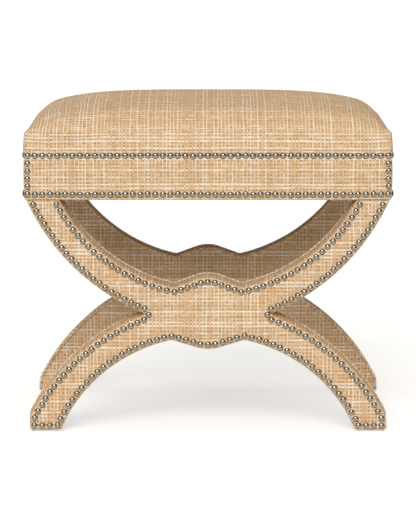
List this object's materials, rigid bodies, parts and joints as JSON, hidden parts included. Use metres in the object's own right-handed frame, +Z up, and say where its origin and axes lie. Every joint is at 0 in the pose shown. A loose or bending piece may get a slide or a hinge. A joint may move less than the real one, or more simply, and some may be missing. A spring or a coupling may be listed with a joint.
{
  "type": "x-frame stool",
  "caption": "Padded rectangular stool on crossed X-shaped frames at front and back, covered in woven cloth and edged with rows of round-headed nails.",
  "frame": {"origin": "on the floor, under the middle of the stool", "axes": "+X across the stool to the right as seen from the front, +Y from front to back, +Z up"},
  "size_m": [0.5586, 0.4126, 0.4983],
  "materials": {
    "woven_cloth": "slubby basket weave, tan with cream yarns",
    "nail_metal": "antiqued nickel",
    "plywood": "raw birch plywood",
    "hardwood": "raw beech",
    "zinc_steel": "zinc plated",
    "wadding": "bonded polyester fibre",
    "foam": "upholstery foam",
    "dust_cloth": "black cambric",
    "nylon": "moulded brown nylon"
  },
  "bodies": {
    "root": {"arm_bolts": "zinc_steel", "arm_dowels": "hardwood", "arm_washers": "zinc_steel", "back_frame_edge_wadding": "wadding", "back_frame_foot_covers": "woven_cloth", "back_frame_inner_cover": "woven_cloth", "back_frame_inner_layer": "plywood", "back_frame_inner_wadding": "wadding", "back_frame_layer_screws": "zinc_steel", "back_frame_left_edge_cover": "woven_cloth", "back_frame_lower_edge_cover": "woven_cloth", "back_frame_nails": "nail_metal", "back_frame_outer_cover": "woven_cloth", "back_frame_outer_layer": "plywood", "back_frame_outer_wadding": "wadding", "back_frame_right_edge_cover": "woven_cloth", "back_frame_upper_edge_cover": "woven_cloth", "back_frame_welts": "woven_cloth", "foot_glides": "nylon", "front_frame_edge_wadding": "wadding", "front_frame_foot_covers": "woven_cloth", "front_frame_inner_cover": "woven_cloth", "front_frame_inner_layer": "plywood", "front_frame_inner_wadding": "wadding", "front_frame_layer_screws": "zinc_steel", "front_frame_left_edge_cover": "woven_cloth", "front_frame_lower_edge_cover": "woven_cloth", "front_frame_nails": "nail_metal", "front_frame_outer_cover": "woven_cloth", "front_frame_outer_layer": "plywood", "front_frame_outer_wadding": "wadding", "front_frame_right_edge_cover": "woven_cloth", "front_frame_upper_edge_cover": "woven_cloth", "front_frame_welts": "woven_cloth", "seat_back_rail": "hardwood", "seat_band_cover": "woven_cloth", "seat_band_wadding": "wadding", "seat_bottom_nails": "nail_metal", "seat_corner_blocks": "hardwood", "seat_corner_nails": "nail_metal", "seat_deck": "plywood", "seat_deck_screws": "zinc_steel", "seat_dust_cover": "dust_cloth", "seat_foam": "foam", "seat_front_rail": "hardwood", "seat_left_rail": "hardwood", "seat_rail_screws": "zinc_steel", "seat_right_rail": "hardwood", "seat_top_cover": "woven_cloth", "seat_top_nails": "nail_metal", "seat_wadding": "wadding", "stretcher_bar": "hardwood", "stretcher_bolts": "zinc_steel", "stretcher_cover": "woven_cloth", "stretcher_wadding": "wadding", "stretcher_washers": "zinc_steel"}
  },
  "joints": []
}
